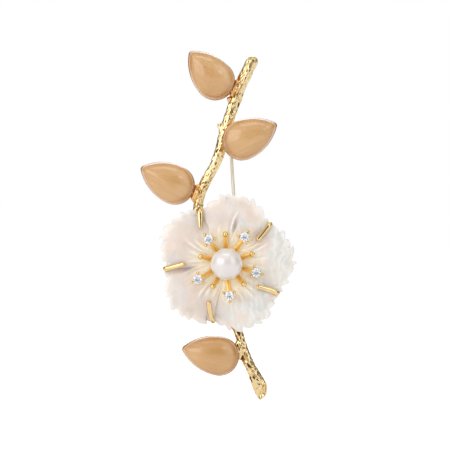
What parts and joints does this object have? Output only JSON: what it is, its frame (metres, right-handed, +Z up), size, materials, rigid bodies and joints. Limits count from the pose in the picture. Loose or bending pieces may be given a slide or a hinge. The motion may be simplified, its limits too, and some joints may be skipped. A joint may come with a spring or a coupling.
{
  "type": "flower spray brooch",
  "caption": "Upright spray brooch: bark-textured twig with drop-shaped cabochon leaves, a carved shell flower with a pearl and stone-tipped stamens, and a hinged pin with a rotating catch.",
  "frame": {"origin": "middle of the pin stem between its joint and its catch, on the stem's axis, where the cloth holds the brooch", "axes": "+Z up as worn, along the twig; the front faces -Y, towards the viewer; +X to the right as seen from the front"},
  "size_m": [0.0346, 0.0162, 0.0771],
  "materials": {
    "cast_gold": "cast bark texture, bright yellow plating",
    "polished_gold": "polished yellow plating",
    "spray_gold": "polished deep yellow plating",
    "pin_metal": "hard-drawn wire, pale yellow plating",
    "cats_eye": "polished translucent peach cabochon with fine fibres",
    "shell": "carved and polished white shell, soft iridescence",
    "pearl": "white pearl lustre",
    "brilliant": "colourless round brilliant"
  },
  "bodies": {
    "brooch": {"twig": "cast_gold", "leaf_cup_top": "polished_gold", "leaf_cup_right": "polished_gold", "leaf_cup_left": "polished_gold", "leaf_cup_foot": "polished_gold", "leaf_stone_top": "cats_eye", "leaf_stone_right": "cats_eye", "leaf_stone_left": "cats_eye", "leaf_stone_foot": "cats_eye", "flower_plate": "polished_gold", "shell_flower": "shell", "claw_1": "polished_gold", "claw_2": "polished_gold", "claw_3": "polished_gold", "claw_4": "polished_gold", "claw_5": "polished_gold", "stamen_spray": "spray_gold", "brilliant_1": "brilliant", "brilliant_2": "brilliant", "brilliant_3": "brilliant", "brilliant_4": "brilliant", "brilliant_5": "brilliant", "pearl": "pearl", "pearl_peg": "polished_gold", "pin_joint": "polished_gold", "joint_rivet": "pin_metal", "catch_body": "polished_gold"},
    "pin": {"pin_stem": "pin_metal"},
    "lock": {"catch_lock": "pin_metal"}
  },
  "joints": [
    {"name": "pin_swing", "type": "hinge", "parent": "brooch", "child": "pin", "pos_m": [-0.00092, 0, 0.01507], "axis": [0.9981, 0, 0.0611], "range_deg": [0, 80]},
    {"name": "catch_turn", "type": "hinge", "parent": "brooch", "child": "lock", "pos_m": [0.00092, 0, -0.01507], "axis": [0.0611, 0, -0.9981], "range_deg": [0, 120]}
  ]
}
